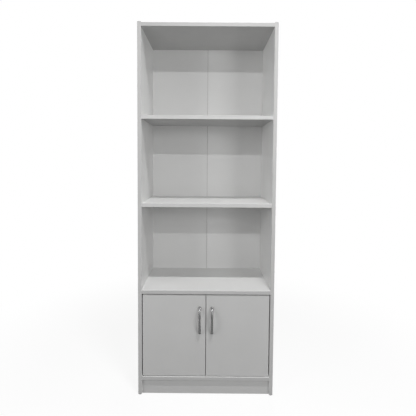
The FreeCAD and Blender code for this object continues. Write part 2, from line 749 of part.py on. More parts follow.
for hand_name, hand in HANDS.items():
    handle = f"{hand_name}_handle"
    handle_x = f"{hand} * (Sizes.meeting_gap / 2 + Sizes.handle_edge)"
    pieces = [bow(handle, handle_x)]
    screws = []
    screw_holes = []
    for way in (1, -1):
        place = "upper" if way > 0 else "lower"
        level = f"{HANDLE_LEVEL} + {way} * Sizes.handle_spacing / 2"
        foot = doc.addObject("Part::Cone", f"{handle}_{place}_foot")
        foot.setExpression("Radius1", "Sizes.handle_foot_diameter / 2")
        foot.setExpression("Radius2", "Sizes.handle_width / 2")
        foot.setExpression("Height", "Sizes.handle_foot_height")
        put(foot, (handle_x, DOOR_FRONT, level), TURNS["-y"])
        pieces.append(foot)
        seat = (handle_x, DOOR_BACK, level)
        shank = ("Sizes.handle_screw_diameter", "Sizes.door_thickness + Sizes.handle_screw_bite")
        head = ("Sizes.handle_screw_head_diameter", "Sizes.handle_screw_head_height")
        screws.append(headed_pin(f"{handle}_{place}_screw", "-y", seat, shank, head))
        screw_holes.append(bore(f"{handle}_{place}_screw_hole", "-y", seat, *shank))
    keep(cut(handle, join(f"{handle}_solid", pieces), screw_holes), handle)
    group(f"{handle}_screws", screws)
    drillings[f"{hand_name}_door_panel"] += screw_holes

# Double magnetic catch under the cabinet top, and a strike plate on each door.
STRIKE_LEVEL = f"({DOOR_TOP} - Sizes.strike_margin - Sizes.strike_height / 2)"
STRIKE_FACE = f"({DOOR_BACK} + Sizes.strike_thickness)"
CATCH_FRONT = f"({STRIKE_FACE} + Sizes.catch_gap)"
CATCH_BOTTOM = f"({STRIKE_LEVEL} - Sizes.magnet_height / 2 - Sizes.catch_wall)"
STRIKE_OFFSET = "(Sizes.meeting_gap / 2 + Sizes.strike_edge + Sizes.strike_width / 2)"
CATCH_HALF = f"({STRIKE_OFFSET} + Sizes.magnet_width / 2 + Sizes.catch_ear)"
catch_block = block(
    "catch_block",
    (f"-{CATCH_HALF}", CATCH_FRONT, CATCH_BOTTOM),
    (f"2 * {CATCH_HALF}", "Sizes.catch_depth", f"{CABINET_TOP} - {CATCH_BOTTOM}"),
)
magnets = []
catch_screws = []
catch_holes = []
for hand_name, hand in HANDS.items():
    door = f"{hand_name}_door_panel"
    strike_x = f"{hand} * {STRIKE_OFFSET}"
    magnets.append(centred_block(
        f"{hand_name}_magnet",
        (strike_x, f"{CATCH_FRONT} + Sizes.magnet_depth / 2", STRIKE_LEVEL),
        ("Sizes.magnet_width", "Sizes.magnet_depth", "Sizes.magnet_height"),
    ))

    seat = (
        f"{hand} * ({CATCH_HALF} - Sizes.catch_ear / 2)",
        f"{CATCH_FRONT} + Sizes.catch_depth / 2",
        CATCH_BOTTOM,
    )
    shank = ("Sizes.catch_screw_diameter", f"{CABINET_TOP} - {CATCH_BOTTOM} + Sizes.catch_screw_bite")
    head = ("Sizes.catch_screw_head_diameter", "Sizes.catch_screw_head_height")
    catch_screws.append(headed_pin(f"{hand_name}_catch_screw", "+z", seat, shank, head))
    hole = bore(f"{hand_name}_catch_screw_hole", "+z", seat, *shank)
    catch_holes.append(hole)
    drillings["cabinet_top_panel"].append(hole)

    strike = centred_block(
        f"{hand_name}_strike_blank",
        (strike_x, f"{DOOR_BACK} + Sizes.strike_thickness / 2", STRIKE_LEVEL),
        ("Sizes.strike_width", "Sizes.strike_thickness", "Sizes.strike_height"),
    )
    flush_seat = (strike_x, DOOR_BACK, STRIKE_LEVEL)
    screw_shank = ("Sizes.strike_screw_diameter", "Sizes.strike_screw_bite")
    flush_head = ("Sizes.strike_screw_head_diameter", "Sizes.strike_thickness")
    screw = headed_pin(f"{hand_name}_strike_screw", "-y", flush_seat, screw_shank, flush_head)
    keep(screw, f"{hand_name}_strike_screw")
    head_hole = bore(f"{hand_name}_strike_head_hole", "+y", flush_seat, *flush_head)
    keep(cut(f"{hand_name}_strike_plate", strike, [head_hole]), f"{hand_name}_strike_plate")
    drillings[door].append(bore(f"{hand_name}_strike_screw_hole", "-y", flush_seat, *screw_shank))
keep(cut("catch_housing", catch_block, [*magnets, *catch_holes]), "catch_housing")
group("catch_magnets", magnets)
group("catch_screws", catch_screws)

# Boards with their drillings.
for board_name, blank in blanks.items():
    keep(cut(board_name, blank, drillings[board_name]), board_name)

doc.recompute()
for item in doc.Objects:
    if "Invalid" in item.State or "Error" in item.State:
        raise RuntimeError(f"{item.Name} failed: {item.State}")
for item in nodes:
    if item.Shape.isNull() or not item.Shape.isValid():
        raise RuntimeError(f"{item.Label} has no valid shape")

os.makedirs("parts", exist_ok=True)
for item in nodes:
    item.Shape.exportStep(os.path.join("parts", f"{item.Label}.step"))
print(len(nodes), "sub-parts written")
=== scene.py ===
import json
import math

import bmesh
import bpy
from mathutils import Matrix, Vector


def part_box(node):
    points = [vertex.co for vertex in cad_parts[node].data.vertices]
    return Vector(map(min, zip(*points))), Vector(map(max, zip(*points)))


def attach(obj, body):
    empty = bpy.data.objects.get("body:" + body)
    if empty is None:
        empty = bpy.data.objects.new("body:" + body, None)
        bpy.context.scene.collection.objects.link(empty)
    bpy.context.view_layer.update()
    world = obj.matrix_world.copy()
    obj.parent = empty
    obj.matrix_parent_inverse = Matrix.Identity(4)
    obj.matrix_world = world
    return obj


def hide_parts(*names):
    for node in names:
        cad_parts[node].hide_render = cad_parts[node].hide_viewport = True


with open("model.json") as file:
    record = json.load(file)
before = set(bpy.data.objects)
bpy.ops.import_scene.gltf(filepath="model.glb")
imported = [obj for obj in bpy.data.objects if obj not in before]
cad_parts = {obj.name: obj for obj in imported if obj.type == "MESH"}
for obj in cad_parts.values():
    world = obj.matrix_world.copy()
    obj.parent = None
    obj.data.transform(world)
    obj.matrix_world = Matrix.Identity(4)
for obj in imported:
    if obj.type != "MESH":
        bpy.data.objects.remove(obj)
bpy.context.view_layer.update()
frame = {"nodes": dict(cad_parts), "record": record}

# Side panels: two full-height boards of pressed wood chips, faced with a grey printed film. The
# inner face is painted a shade paler, as painted light that fills the bays. The front and top edges
# carry a glued band, and the rear edge and the foot end are left as sawn.
inside_painted_light_grey = (0.745, 0.745, 0.740, 1)
outside_grey = (0.545, 0.545, 0.541, 1)
side_band_grey = (0.505, 0.505, 0.502, 1)
chip_pale = (0.50, 0.38, 0.25, 1)
chip_dark = (0.24, 0.16, 0.09, 1)
flakes_per_metre = 420
film_cloud = 0.16
band_cloud = 0.05
film_sheen_cloud = 0.06
film_pore = 0.0012
square_on = 0.8
frontward = (0, -1, 0)
rearward = (0, 1, 0)
upward = (0, 0, 1)
downward = (0, 0, -1)
leftward = (-1, 0, 0)
rightward = (1, 0, 0)


def shader_of(finish):
    """Main shader of a finish."""
    return finish.node_tree.nodes["Principled BSDF"]


def new_finish(name, roughness=0.5, metallic=0.0):
    """Material with one shader, ready for its patterns."""
    finish = bpy.data.materials.new(name)
    finish.use_nodes = True
    shader = shader_of(finish)
    shader.inputs["Roughness"].default_value = roughness
    shader.inputs["Metallic"].default_value = metallic
    return finish


def add_node(finish, kind, **settings):
    """Node of a finish, with its plain settings."""
    node = finish.node_tree.nodes.new(kind)
    for name, value in settings.items():
        setattr(node, name, value)
    return node


def wire(finish, source, target):
    """Link from one socket to another."""
    finish.node_tree.links.new(source, target)


def grain(finish, size, detail=3.0, stretch=(1, 1, 1)):
    """Cloudy pattern over the piece, with grains of about this size in metres."""
    place = add_node(finish, "ShaderNodeTexCoord")
    scaled = add_node(finish, "ShaderNodeMapping")
    scaled.inputs["Scale"].default_value = [share / size for share in stretch]
    clouds = add_node(finish, "ShaderNodeTexNoise")
    clouds.inputs["Scale"].default_value = 1.0
    clouds.inputs["Detail"].default_value = detail
    wire(finish, place.outputs["Object"], scaled.inputs["Vector"])
    wire(finish, scaled.outputs["Vector"], clouds.inputs["Vector"])
    return clouds.outputs["Fac"]


def shades(finish, pattern, dark, pale, low=0.3, high=0.7):
    """Colours between two shades, picked by a pattern."""
    ramp = add_node(finish, "ShaderNodeValToRGB")
    ramp.color_ramp.elements[0].position = low
    ramp.color_ramp.elements[0].color = dark
    ramp.color_ramp.elements[1].position = high
    ramp.color_ramp.elements[1].color = pale
    wire(finish, pattern, ramp.inputs["Fac"])
    return ramp.outputs["Color"]


def colour_with(finish, colours):
    """Colours that a finish shows."""
    wire(finish, colours, shader_of(finish).inputs["Base Color"])


def vary_gloss(finish, pattern, smooth, rough):
    """Roughness that wanders with a pattern."""
    spread = add_node(finish, "ShaderNodeMapRange")
    spread.inputs["To Min"].default_value = smooth
    spread.inputs["To Max"].default_value = rough
    wire(finish, pattern, spread.inputs["Value"])
    wire(finish, spread.outputs["Result"], shader_of(finish).inputs["Roughness"])


def raise_pattern(finish, pattern, height, strength):
    """Fine relief that follows a pattern."""
    relief = add_node(finish, "ShaderNodeBump")
    relief.inputs["Distance"].default_value = height
    relief.inputs["Strength"].default_value = strength
    wire(finish, pattern, relief.inputs["Height"])
    wire(finish, relief.outputs["Normal"], shader_of(finish).inputs["Normal"])


def faces_towards(finish, direction):
    """One on faces that look along a direction of the piece, nought elsewhere."""
    place = add_node(finish, "ShaderNodeTexCoord")
    along = add_node(finish, "ShaderNodeVectorMath", operation="DOT_PRODUCT")
    along.inputs[1].default_value = direction
    over = add_node(finish, "ShaderNodeMath", operation="GREATER_THAN")
    over.inputs[1].default_value = square_on
    wire(finish, place.outputs["Normal"], along.inputs[0])
    wire(finish, along.outputs["Value"], over.inputs[0])
    return over.outputs["Value"]


def lay_over(finish, below, above, where):
    """One colour laid over another where a mask is one."""
    layers = add_node(finish, "ShaderNodeMix", data_type="RGBA")
    wire(finish, where, layers.inputs["Factor"])
    wire(finish, below, layers.inputs["A"])
    wire(finish, above, layers.inputs["B"])
    return layers.outputs["Result"]


def sawn_chips(finish):
    """Cut edge of chip board: pale and dark flakes side by side."""
    place = add_node(finish, "ShaderNodeTexCoord")
    flakes = add_node(finish, "ShaderNodeTexVoronoi")
    flakes.inputs["Scale"].default_value = flakes_per_metre
    wire(finish, place.outputs["Object"], flakes.inputs["Vector"])
    single = add_node(finish, "ShaderNodeSeparateColor")
    wire(finish, flakes.outputs["Color"], single.inputs["Color"])
    return shades(finish, single.outputs["Red"], chip_dark, chip_pale, low=0.1, high=0.9)


def deeper(tone, share=0.96):
    """Tone a little darker than another."""
    return [share * part for part in tone[:3]] + [1]


def faced_board(name, face_grey, other_greys, sawn_directions):
    """Film-faced chip board, with the faces and edges that have another grey or are sawn."""
    finish = new_finish(name)
    colour = shades(finish, grain(finish, film_cloud, detail=5.0), deeper(face_grey), face_grey)
    for direction, grey in other_greys:
        band = shades(finish, grain(finish, band_cloud, detail=4.0), deeper(grey), grey)
        colour = lay_over(finish, colour, band, faces_towards(finish, direction))
    chips = sawn_chips(finish)
    for direction in sawn_directions:
        colour = lay_over(finish, colour, chips, faces_towards(finish, direction))
    colour_with(finish, colour)
    vary_gloss(finish, grain(finish, film_sheen_cloud, detail=4.0), smooth=0.37, rough=0.45)
    raise_pattern(finish, grain(finish, film_pore, detail=2.0), height=0.00012, strength=0.10)
    return finish


def dress(node_name, finish):
    """Finish on a piece that keeps its shape."""
    frame["nodes"][node_name].material_slots[0].material = finish


for hand, outward in (("left", leftward), ("right", rightward)):
    side_greys = [(outward, outside_grey), (frontward, side_band_grey), (upward, side_band_grey)]
    side_board = faced_board(f"{hand}_side_board", inside_painted_light_grey, side_greys, [rearward, downward])
    dress(f"{hand}_side_panel", side_board)

# Level boards: top, two shelves, the cabinet's top and its bottom, of the same faced board, painted
# paler inside the bays as painted light and darker underneath as painted shade, with the deeper film
# on the outside of the top. Only the front edge is banded, in a paler band on the two shelves. They
# stand between the sides on dowels and cam fittings.
level_band_grey = (0.485, 0.485, 0.482, 1)
shelf_band_grey = (0.575, 0.575, 0.571, 1)
underside_painted_shade_grey = (0.465, 0.465, 0.462, 1)
level_greys = [(frontward, level_band_grey), (downward, underside_painted_shade_grey)]
shelf_greys = [(frontward, shelf_band_grey), (downward, underside_painted_shade_grey)]
level_board = faced_board("level_board", inside_painted_light_grey, level_greys, [rearward])
shelf_board = faced_board("shelf_board", inside_painted_light_grey, shelf_greys, [rearward])
top_board = faced_board("top_board", outside_grey, level_greys, [rearward])
for node_name in ("cabinet_top_panel", "bottom_panel"):
    dress(node_name, level_board)
for node_name in ("upper_shelf", "lower_shelf"):
    dress(node_name, shelf_board)
dress("top_panel", top_board)

# Plinth board: a strip of the same board on edge, set back under the bottom panel with its face to
# the front. Dowels and cam fittings hold its ends to the sides, and its lower edge is left as sawn.
plinth_board = faced_board("plinth_board", outside_grey, [], [downward])
dress("plinth_board", plinth_board)

# Knock-down fittings: die-cast cams let into the boards grip the heads of plated bolts in the
# sides, and raw beech dowels beside them keep each board in line. A moulded cap covers each cam, in
# the painted-shade grey of the boards' undersides.
cast_dark = (0.42, 0.42, 0.42, 1)
cast_pale = (0.60, 0.60, 0.59, 1)
bolt_dark = (0.50, 0.50, 0.52, 1)
bolt_pale = (0.64, 0.64, 0.65, 1)
beech_deep = (0.50, 0.36, 0.22, 1)
beech_pale = (0.62, 0.47, 0.31, 1)
beech_fleck = 0.004
along_dowel = (0.2, 1, 1)
plastic_cloud = 0.01
plastic_spark = 0.0006
cap_radius = 0.0088
cap_rise = 0.0012
cap_outline = ((1, 0), (1, 0.4), (0.95, 0.75), (0.75, 0.93), (0.30, 1))
cap_sides = 32
same_corner = 1e-6
edge_sharp_degrees = 35


def plated_metal(name, dark, pale, smooth, rough, stretch=(1, 1, 1), streak_size=0.002):
    """Metal whose tone and gloss wander a little over the surface."""
    finish = new_finish(name, metallic=1.0)
    streaks = grain(finish, streak_size, detail=4.0, stretch=stretch)
    colour_with(finish, shades(finish, streaks, dark, pale))
    vary_gloss(finish, streaks, smooth, rough)
    return finish


def moulded(name, dark, pale):
    """Moulded plastic with a fine spark-eroded grain."""
    finish = new_finish(name)
    spark = grain(finish, plastic_spark, detail=2.0)
    colour_with(finish, shades(finish, grain(finish, plastic_cloud), dark, pale))
    vary_gloss(finish, spark, smooth=0.42, rough=0.58)
    raise_pattern(finish, spark, height=0.00005, strength=0.25)
    return finish


def joined_shape(node_name):
    """Shape of a node with its doubled corners joined."""
    shape = bmesh.new()
    shape.from_mesh(frame["nodes"][node_name].data)
    bmesh.ops.remove_doubles(shape, verts=shape.verts, dist=same_corner)
    return shape


def loose_pieces(node_name):
    """Corner points of each separate solid in a node."""
    shape = joined_shape(node_name)
    waiting = set(shape.verts)
    pieces = []
    for first in list(shape.verts):
        if first not in waiting:
            continue
        waiting.discard(first)
        found = [first]
        for point in found:
            for edge in point.link_edges:
                beside = edge.other_vert(point)
                if beside in waiting:
                    waiting.discard(beside)
                    found.append(beside)
        pieces.append([point.co.copy() for point in found])
    shape.free()
    return pieces


def reach_of(points):
    """Lowest and highest corner of some points."""
    low = Vector([min(point[side] for point in points) for side in range(3)])
    high = Vector([max(point[side] for point in points) for side in range(3)])
    return low, high


def close_rings(shape, rings):
    """Skin over a row of rings, with a face at each end."""
    sides = len(rings[0])
    for lower, upper in zip(rings, rings[1:]):
        for side in range(sides):
            after = (side + 1) % sides
            shape.faces.new((lower[side], lower[after], upper[after], upper[side]))
    shape.faces.new(rings[0][::-1])
    shape.faces.new(rings[-1])


def add_turned(shape, profile, place=Vector(), direction=Vector(upward), sides=24):
    """Turned solid, from its radii at heights along a direction."""
    lean = direction.to_track_quat("Z", "Y").to_matrix()
    rings = []
    for radius, height in profile:
        ring = []
        for side in range(sides):
            turn = 2 * math.pi * side / sides
            corner = Vector((radius * math.cos(turn), radius * math.sin(turn), height))
            ring.append(shape.verts.new(place + lean @ corner))
        rings.append(ring)
    close_rings(shape, rings)


def shade_over(mesh, sharp_degrees):
    """Smooth shading over a mesh, but for edges that turn more than an angle."""
    mesh.shade_smooth()
    mesh.set_sharp_from_angle(angle=math.radians(sharp_degrees))


def to_mesh(shape, name):
    """Mesh of a finished shape."""
    mesh = bpy.data.meshes.new(name)
    shape.to_mesh(mesh)
    shape.free()
    shade_over(mesh, edge_sharp_degrees)
    return mesh


def to_piece(mesh, name, finish):
    """Object with a finished mesh and one finish."""
    mesh.materials.clear()
    mesh.materials.append(finish)
    piece = bpy.data.objects.new(name, mesh)
    bpy.context.scene.collection.objects.link(piece)
    return piece


cast_zinc = plated_metal("cast_zinc", cast_dark, cast_pale, smooth=0.42, rough=0.60)
bolt_zinc = plated_metal("bolt_zinc", bolt_dark, bolt_pale, smooth=0.28, rough=0.42)
dress("cam_locks", cast_zinc)
dress("cam_bolts", bolt_zinc)

beech = new_finish("beech", roughness=0.6)
fleck = grain(beech, beech_fleck, detail=5.0, stretch=along_dowel)
colour_with(beech, shades(beech, fleck, beech_deep, beech_pale))
raise_pattern(beech, fleck, height=0.0002, strength=0.3)
dress("joint_dowels", beech)

# The caps take the painted-shade grey of the boards' undersides.
cap_plastic = moulded("cap_plastic", deeper(underside_painted_shade_grey), underside_painted_shade_grey)
cap_profile = [(out * cap_radius, up * cap_rise) for out, up in cap_outline]
caps = bmesh.new()
for points in loose_pieces("cam_locks"):
    low, high = reach_of(points)
    middle = (low + high) / 2
    lies_flat = high.z - low.z < high.x - low.x
    if lies_flat:
        cap_seat = Vector((middle.x, middle.y, low.z))
        cap_side = Vector(downward)
    else:
        cap_seat = Vector((middle.x, high.y, middle.z))
        cap_side = Vector(rearward)
    add_turned(caps, cap_profile, cap_seat, cap_side, cap_sides)
cam_caps = to_piece(to_mesh(caps, "cam_caps"), "cam_caps", cap_plastic)
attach(cam_caps, "case")

# Back: two halves of thin hardboard nailed to the rear edges of the boards, painted pale grey
# on the inside and bare brown with a felted look outside and on the cut edges. A cloth tape covers
# the seam; its dark grey is painted shade that deepens the seam line between the halves.
back_pale = (0.714, 0.714, 0.708, 1)
back_deep = (0.690, 0.690, 0.685, 1)
fibre_pale = (0.30, 0.19, 0.11, 1)
fibre_dark = (0.20, 0.12, 0.065, 1)
paint_cloud = 0.20
paint_sheen_cloud = 0.05
fibre_size = 0.003
felt_size = 0.0015
seam_shade_pale = (0.30, 0.29, 0.27, 1)
seam_shade_deep = (0.23, 0.22, 0.205, 1)
weave_size = 0.0025
along_tape = (1, 1, 0.3)
nail_dark = (0.46, 0.46, 0.48, 1)
nail_pale = (0.62, 0.62, 0.63, 1)

hardboard = new_finish("painted_hardboard")
paint = shades(hardboard, grain(hardboard, paint_cloud, detail=5.0), back_deep, back_pale)
fibres = shades(hardboard, grain(hardboard, fibre_size, detail=6.0), fibre_dark, fibre_pale)
hardboard_colour = paint
for direction in (rearward, rightward, leftward, upward, downward):
    bare_face = faces_towards(hardboard, direction)
    hardboard_colour = lay_over(hardboard, hardboard_colour, fibres, bare_face)
colour_with(hardboard, hardboard_colour)
vary_gloss(hardboard, grain(hardboard, paint_sheen_cloud), smooth=0.48, rough=0.62)
raise_pattern(hardboard, grain(hardboard, felt_size), height=0.0002, strength=0.15)
for hand in ("left", "right"):
    dress(f"{hand}_back_panel", hardboard)

seam_shade_tape = new_finish("seam_shade_tape", roughness=0.7)
weave = grain(seam_shade_tape, weave_size, detail=5.0, stretch=along_tape)
colour_with(seam_shade_tape, shades(seam_shade_tape, weave, seam_shade_deep, seam_shade_pale))
raise_pattern(seam_shade_tape, weave, height=0.00015, strength=0.3)
dress("back_joint_tape", seam_shade_tape)

nail_zinc = plated_metal("nail_zinc", nail_dark, nail_pale, smooth=0.30, rough=0.45)
dress("back_nails", nail_zinc)

# Foot glides: small round pads of dark moulded plastic on a nail, driven into the foot end of
# each side.
glide_dark = (0.16, 0.16, 0.16, 1)
glide_pale = (0.20, 0.20, 0.20, 1)
glide_edge = 0.0006
flat_degrees = 1
rounded_degrees = 40
rounding_steps = 2


def stand_for(piece, node_name):
    """Piece shown in the place of a node, on the same body."""
    bodies = frame["record"]["behaviour"]["bodies"]
    body_name = next(name for name, nodes in bodies.items() if node_name in nodes)
    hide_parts(node_name)
    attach(piece, body_name)


def settled_mesh(piece):
    """Mesh of a piece after its modifiers, which go away with the piece."""
    bpy.context.view_layer.update()
    settled = piece.evaluated_get(bpy.context.evaluated_depsgraph_get())
    mesh = bpy.data.meshes.new_from_object(settled)
    bpy.data.objects.remove(piece)
    return mesh


def ease_edges(node_name, finish, edge):
    """Copy of a node with its edges rounded off, shown in its place."""
    shape = joined_shape(node_name)
    flat_angle = math.radians(flat_degrees)
    bmesh.ops.dissolve_limit(shape, angle_limit=flat_angle, verts=shape.verts, edges=shape.edges)
    sharp = to_piece(to_mesh(shape, "sharp"), "sharp", finish)
    rounding = sharp.modifiers.new("rounding", "BEVEL")
    rounding.width = edge
    rounding.segments = rounding_steps
    rounding.limit_method = "ANGLE"
    rounding.angle_limit = math.radians(rounded_degrees)
    eased = to_piece(settled_mesh(sharp), f"eased_{node_name}", finish)
    stand_for(eased, node_name)


glide_plastic = moulded("glide_plastic", glide_dark, glide_pale)
ease_edges("foot_glides", glide_plastic, glide_edge)

# Doors: two flat boards in the deeper film with all edges banded, inset between the sides and a
# little behind their front edges. Each hangs on two cup hinges.
door_board = faced_board("door_board", outside_grey, [], [])
for hand in ("left", "right"):
    dress(f"{hand}_door_panel", door_board)

# Cup hinges: nickel-plated steel, with the cup let into the door and screwed to it, and a cranked
# arm on a plate that is screwed to the side. The screws have round heads with a cross recess.
nickel_dark = (0.52, 0.51, 0.49, 1)
nickel_pale = (0.68, 0.67, 0.64, 1)
screw_dark = (0.50, 0.50, 0.51, 1)
screw_pale = (0.66, 0.66, 0.67, 1)
hinge_edge = 0.0004
rim_share = 0.95
point_share = 0.3
point_length = 1.2
head_outline = ((1, 0), (1, 0.30), (0.94, 0.60), (0.74, 0.87), (0.40, 1))
recess_reach = 0.55
recess_width = 0.11
recess_depth = 0.60
recess_taper = 0.6
driver_height = 1.1
turn_between = 0.7

hinge_nickel = plated_metal("hinge_nickel", nickel_dark, nickel_pale, smooth=0.22, rough=0.36)
screw_zinc = plated_metal("screw_zinc", screw_dark, screw_pale, smooth=0.25, rough=0.40)


def combine(solid, second, operation):
    """Mesh of a piece after a second piece is joined to it or cut out of it."""
    change = solid.modifiers.new("change", "BOOLEAN")
    change.operation = operation
    change.solver = "EXACT"
    change.object = second
    mesh = settled_mesh(solid)
    bpy.data.objects.remove(second)
    return mesh


def screw_measures(points):
    """Seat and direction of a plain screw, with the radius and length of its shank and head."""
    low, high = reach_of(points)
    middle = (low + high) / 2
    size = high - low
    long_side = max(range(3), key=lambda side: size[side])
    axis = Vector([1.0 if side == long_side else 0.0 for side in range(3)])
    offsets = [point - middle for point in points]
    heights = [offset.dot(axis) for offset in offsets]
    radii = [(offset - axis * height).length for offset, height in zip(offsets, heights)]
    head_radius = max(radii)
    rim = rim_share * head_radius
    rim_heights = [height for height, radius in zip(heights, radii) if radius > rim]
    if sum(rim_heights) < 0:
        axis = -axis
        rim_heights = [-height for height in rim_heights]
        heights = [-height for height in heights]
    seat = min(rim_heights)
    head_height = max(heights) - seat
    shank_length = seat - min(heights)
    half_way = seat - shank_length / 2
    shank_radius = max(radius for height, radius in zip(heights, radii) if height < half_way)
    return middle + axis * seat, axis, (shank_radius, shank_length), (head_radius, head_height)


def screw_profile(shank, head):
    """Radii and heights of a screw, from its point to the top of its round head."""
    shank_radius, shank_length = shank
    head_radius, head_height = head
    profile = [(point_share * shank_radius, -shank_length)]
    profile += [(shank_radius, -shank_length + point_length * shank_radius), (shank_radius, 0)]
    profile += [(out * head_radius, up * head_height) for out, up in head_outline]
    return profile


def cross_driver(head_radius, head_height):
    """Tapered cross that leaves the recess in a screw head."""
    shape = bmesh.new()
    far = recess_reach * head_radius
    near = recess_width * head_radius
    top = driver_height * head_height
    bottom = (1 - recess_depth) * head_height
    outline = [(far, near), (near, near), (near, far), (-near, far), (-near, near), (-far, near)]
    outline += [(-x, -y) for x, y in outline]
    upper = [shape.verts.new((x, y, top)) for x, y in outline]
    lower = [shape.verts.new((recess_taper * x, recess_taper * y, bottom)) for x, y in outline]
    close_rings(shape, [lower, upper])
    return to_mesh(shape, "cross_driver")


def cross_head_screws(node_name, finish):
    """Round-headed screws with a cross recess, in the place of a node's plain ones."""
    shape = bmesh.new()
    for number, points in enumerate(loose_pieces(node_name)):
        seat, axis, shank, head = screw_measures(points)
        turned = bmesh.new()
        add_turned(turned, screw_profile(shank, head))
        blank = to_piece(to_mesh(turned, "blank"), "blank", finish)
        driver = to_piece(cross_driver(*head), "driver", finish)
        screw = combine(blank, driver, "DIFFERENCE")
        lean = axis.to_track_quat("Z", "Y").to_matrix().to_4x4()
        driven = Matrix.Rotation(turn_between * number, 4, "Z")
        screw.transform(Matrix.Translation(seat) @ lean @ driven)
        shape.from_mesh(screw)
    screws_name = f"cross_head_{node_name}"
    screws = to_piece(to_mesh(shape, screws_name), screws_name, finish)
    stand_for(screws, node_name)


for hand in ("left", "right"):
    for level in ("upper", "lower"):
        for piece_name in ("arm", "plate", "cup"):
            ease_edges(f"{hand}_{level}_hinge_{piece_name}", hinge_nickel, hinge_edge)
        dress(f"{hand}_{level}_hinge_pin", hinge_nickel)
    cross_head_screws(f"{hand}_cup_screws", screw_zinc)
cross_head_screws("hinge_arm_screws", screw_zinc)
cross_head_screws("hinge_plate_screws", screw_zinc)

# Catch: two ferrite magnets in a moulded housing, screwed under the cabinet's top, and a small steel
# strike plate screwed to the inner face of each door.
housing_dark = (0.60, 0.60, 0.58, 1)
housing_pale = (0.68, 0.68, 0.66, 1)
housing_edge = 0.0006
ferrite_dark = (0.035, 0.035, 0.037, 1)
ferrite_pale = (0.06, 0.06, 0.063, 1)
strike_dark = (0.48, 0.48, 0.49, 1)
strike_pale = (0.62, 0.62, 0.63, 1)
strike_edge = 0.0003
catch_plastic = moulded("catch_plastic", housing_dark, housing_pale)
ferrite = moulded("ferrite", ferrite_dark, ferrite_pale)
strike_steel = plated_metal("strike_steel", strike_dark, strike_pale, smooth=0.30, rough=0.45)
ease_edges("catch_housing", catch_plastic, housing_edge)
dress("catch_magnets", ferrite)
cross_head_screws("catch_screws", screw_zinc)
for hand in ("left", "right"):
    ease_edges(f"{hand}_strike_plate", strike_steel, strike_edge)
    cross_head_screws(f"{hand}_strike_screw", screw_zinc)

# Handles: upright bows of cast metal with a satin finish, wider towards their ends, each on two
# round feet near the meeting edges. The metal is painted near black as a painted reflection of dark
# surroundings below. Screws from inside the door hold the feet.
reflection_dark = (0.125, 0.125, 0.125, 1)
reflection_pale = (0.155, 0.155, 0.155, 1)
satin_streak = 0.0006
along_bow = (1, 1, 0.05)
bow_thickness = 0.006
bow_mid_width = 0.0088
bow_end_width = 0.0122
bow_end_thickness = 0.0046
bow_end_gap = 0.001
bow_squareness = 2.6
bow_steps = 64
bow_sides = 32
flare_power = 2.4
tip_length = 0.008
tip_least = 0.05
foot_spacing = 0.112
foot_height = 0.007
foot_radius = 0.0052
foot_outline = ((1, 0), (1, 0.0008), (0.86, 0.0022), (0.78, 0.0040), (0.76, foot_height))
foot_sides = 32
handle_sharp_degrees = 40


def squared_round(turn, half):
    """Point on a rounded outline between an oval and a box, along one side."""
    return half * math.copysign(abs(turn) ** (2 / bow_squareness), turn)


def add_bow(shape, centre, radius, half_angle):
    """Arched bar that widens and thins towards its rounded tips."""
    rings = []
    for step in range(bow_steps + 1):
        share = -math.cos(math.pi * step / bow_steps)
        lean = half_angle * share
        flare = abs(share) ** flare_power
        width = bow_mid_width + (bow_end_width - bow_mid_width) * flare
        thickness = bow_thickness + (bow_end_thickness - bow_thickness) * flare
        to_tip = radius * half_angle * (1 - abs(share))
        rounding = 1.0
        if to_tip < tip_length:
            rounding = max(math.sqrt(1 - (1 - to_tip / tip_length) ** 2), tip_least)
        outward = Vector((0, -math.cos(lean), math.sin(lean)))
        middle = centre + outward * radius
        ring = []
        for side in range(bow_sides):
            turn = 2 * math.pi * side / bow_sides
            across = squared_round(math.cos(turn), width / 2 * rounding)
            out = squared_round(math.sin(turn), thickness / 2 * math.sqrt(rounding))
            ring.append(shape.verts.new(middle + Vector((across, 0, 0)) + outward * out))
        rings.append(ring)
    close_rings(shape, rings)
    bmesh.ops.recalc_face_normals(shape, faces=shape.faces)


satin_metal_dark_reflection = plated_metal(
    "satin_metal_dark_reflection", reflection_dark, reflection_pale, smooth=0.22, rough=0.25,
    stretch=along_bow, streak_size=satin_streak,
)
foot_profile = [(out * foot_radius, height) for out, height in foot_outline]
for hand in ("left", "right"):
    low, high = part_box(f"{hand}_handle")
    handle_low = Vector(low)
    handle_high = Vector(high)
    door_face = handle_high.y
    handle_reach = door_face - handle_low.y
    rise = handle_reach - bow_thickness / 2 - foot_height
    bow_radius = (foot_spacing ** 2 / 4 + rise ** 2) / (2 * rise)
    half_height = (handle_high.z - handle_low.z) / 2 - bow_end_gap
    bow_half_angle = math.asin(half_height / bow_radius)
    middle_x = (handle_low.x + handle_high.x) / 2
    middle_z = (handle_low.z + handle_high.z) / 2
    bow_centre = Vector((middle_x, handle_low.y + bow_thickness / 2 + bow_radius, middle_z))
    bow_shape = bmesh.new()
    add_bow(bow_shape, bow_centre, bow_radius, bow_half_angle)
    bow = to_piece(to_mesh(bow_shape, "bow"), "bow", satin_metal_dark_reflection)
    foot_shape = bmesh.new()
    for way in (-1, 1):
        foot_place = Vector((middle_x, door_face, middle_z + way * foot_spacing / 2))
        add_turned(foot_shape, foot_profile, foot_place, Vector(frontward), foot_sides)
    feet = to_piece(to_mesh(foot_shape, "feet"), "feet", satin_metal_dark_reflection)
    bow_mesh = combine(bow, feet, "UNION")
    shade_over(bow_mesh, handle_sharp_degrees)
    bow_handle = to_piece(bow_mesh, f"{hand}_bow_handle", satin_metal_dark_reflection)
    stand_for(bow_handle, f"{hand}_handle")
    cross_head_screws(f"{hand}_handle_screws", screw_zinc)

# Stage: a pale floor that keeps a soft shadow near the feet and runs out into white, so that the
# case stands on plain ground.
floor_half = 30.0
floor_bounce = (0.30, 0.30, 0.30, 1)
floor_white = (0.95, 0.95, 0.95, 1)
shadow_near = 0.6
shadow_far = 1.6
shadow_share = 0.12


